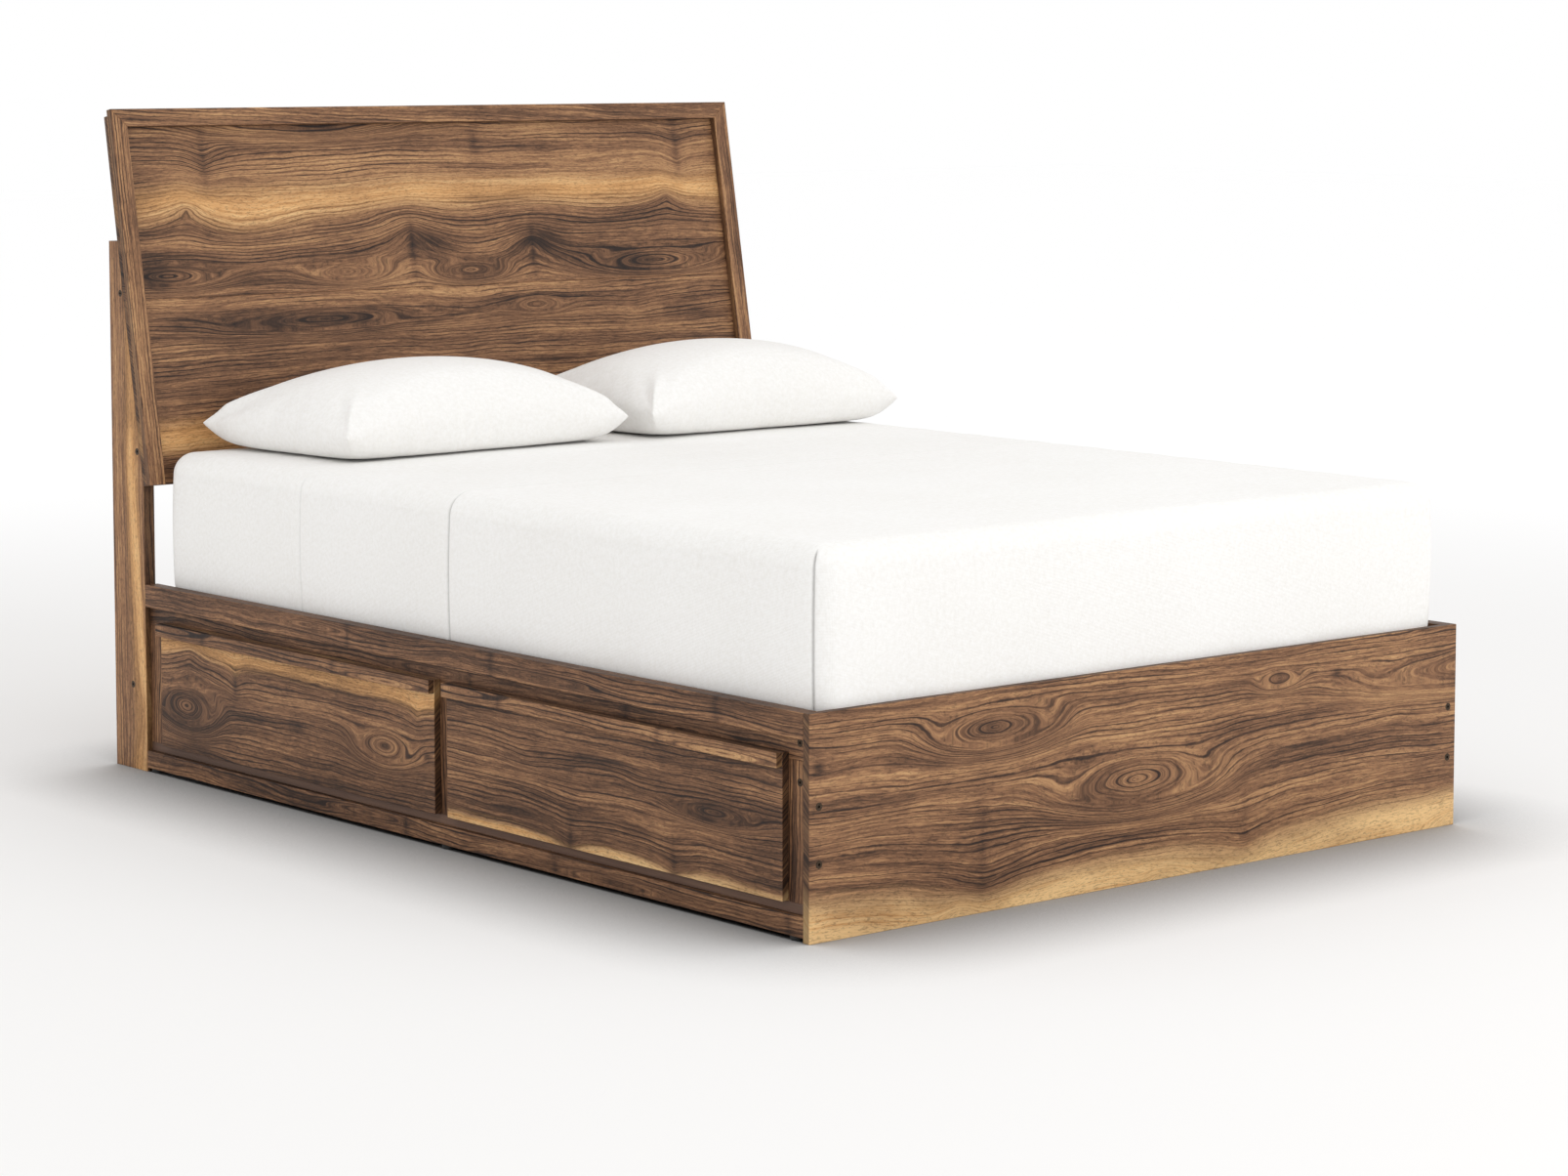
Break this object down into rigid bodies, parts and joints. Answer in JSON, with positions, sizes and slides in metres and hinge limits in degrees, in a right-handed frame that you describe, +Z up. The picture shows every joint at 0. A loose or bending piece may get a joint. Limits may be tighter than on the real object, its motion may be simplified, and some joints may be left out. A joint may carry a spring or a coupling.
{
  "type": "platform bed with storage drawers",
  "caption": "Queen platform bed with a raked plank headboard, low footboard and walnut-look storage drawers sliding out of both long sides, with mattress and pillows.",
  "frame": {"origin": "on the floor, at the centre of the bed's footprint", "axes": "+Z up, +Y towards the headboard along the bed's length, +X to the right of a person standing at the foot and facing the headboard"},
  "size_m": [1.631, 2.2015, 1.3381],
  "materials": {
    "walnut_laminate": "satin walnut-figured laminate",
    "carcass_board": "plain matt board and pine",
    "drawer_board": "matt drawer board",
    "runner_steel": "zinc-plated pressed steel",
    "bronzed_steel": "dark bronzed steel",
    "black_plastic": "moulded matt plastic",
    "white_cotton": "woven white cotton cover"
  },
  "bodies": {
    "bed_frame": {"headboard_top_rail": "walnut_laminate", "headboard_stile_left": "walnut_laminate", "headboard_stile_right": "walnut_laminate", "headboard_plank_upper": "walnut_laminate", "headboard_plank_lower": "walnut_laminate", "post_left": "walnut_laminate", "post_right": "walnut_laminate", "footboard": "walnut_laminate", "side_rail_left": "walnut_laminate", "base_rail_left": "walnut_laminate", "frame_rail_left": "walnut_laminate", "face_stiles_left": "walnut_laminate", "side_rail_right": "walnut_laminate", "base_rail_right": "walnut_laminate", "frame_rail_right": "walnut_laminate", "face_stiles_right": "walnut_laminate", "headboard_battens": "carcass_board", "headboard_cross_rail": "carcass_board", "centre_beam": "carcass_board", "centre_legs": "carcass_board", "slats": "carcass_board", "slat_cleats": "carcass_board", "runner_spacers": "carcass_board", "cabinet_bottom_left": "carcass_board", "cabinet_back_left": "carcass_board", "cabinet_panels_left": "carcass_board", "cabinet_bottom_right": "carcass_board", "cabinet_back_right": "carcass_board", "cabinet_panels_right": "carcass_board", "cabinet_runners": "runner_steel", "corner_brackets": "runner_steel", "connector_screws": "bronzed_steel", "glides": "black_plastic", "mattress": "white_cotton", "pillow_left": "white_cotton", "pillow_right": "white_cotton"},
    "drawer_left_foot": {"drawer_left_foot_front": "walnut_laminate", "drawer_left_foot_pull": "walnut_laminate", "drawer_left_foot_box_sides": "drawer_board", "drawer_left_foot_box_back": "drawer_board", "drawer_left_foot_box_bottom": "drawer_board", "drawer_left_foot_runners": "runner_steel"},
    "drawer_left_head": {"drawer_left_head_front": "walnut_laminate", "drawer_left_head_pull": "walnut_laminate", "drawer_left_head_box_sides": "drawer_board", "drawer_left_head_box_back": "drawer_board", "drawer_left_head_box_bottom": "drawer_board", "drawer_left_head_runners": "runner_steel"},
    "drawer_right_foot": {"drawer_right_foot_front": "walnut_laminate", "drawer_right_foot_pull": "walnut_laminate", "drawer_right_foot_box_sides": "drawer_board", "drawer_right_foot_box_back": "drawer_board", "drawer_right_foot_box_bottom": "drawer_board", "drawer_right_foot_runners": "runner_steel"},
    "drawer_right_head": {"drawer_right_head_front": "walnut_laminate", "drawer_right_head_pull": "walnut_laminate", "drawer_right_head_box_sides": "drawer_board", "drawer_right_head_box_back": "drawer_board", "drawer_right_head_box_bottom": "drawer_board", "drawer_right_head_runners": "runner_steel"}
  },
  "joints": [
    {"name": "drawer_left_foot_slide", "type": "slide", "parent": "bed_frame", "child": "drawer_left_foot", "axis": [-1, 0, 0], "range_m": [0, 0.4]},
    {"name": "drawer_left_head_slide", "type": "slide", "parent": "bed_frame", "child": "drawer_left_head", "axis": [-1, 0, 0], "range_m": [0, 0.4]},
    {"name": "drawer_right_foot_slide", "type": "slide", "parent": "bed_frame", "child": "drawer_right_foot", "axis": [1, 0, 0], "range_m": [0, 0.4]},
    {"name": "drawer_right_head_slide", "type": "slide", "parent": "bed_frame", "child": "drawer_right_head", "axis": [1, 0, 0], "range_m": [0, 0.4]}
  ]
}
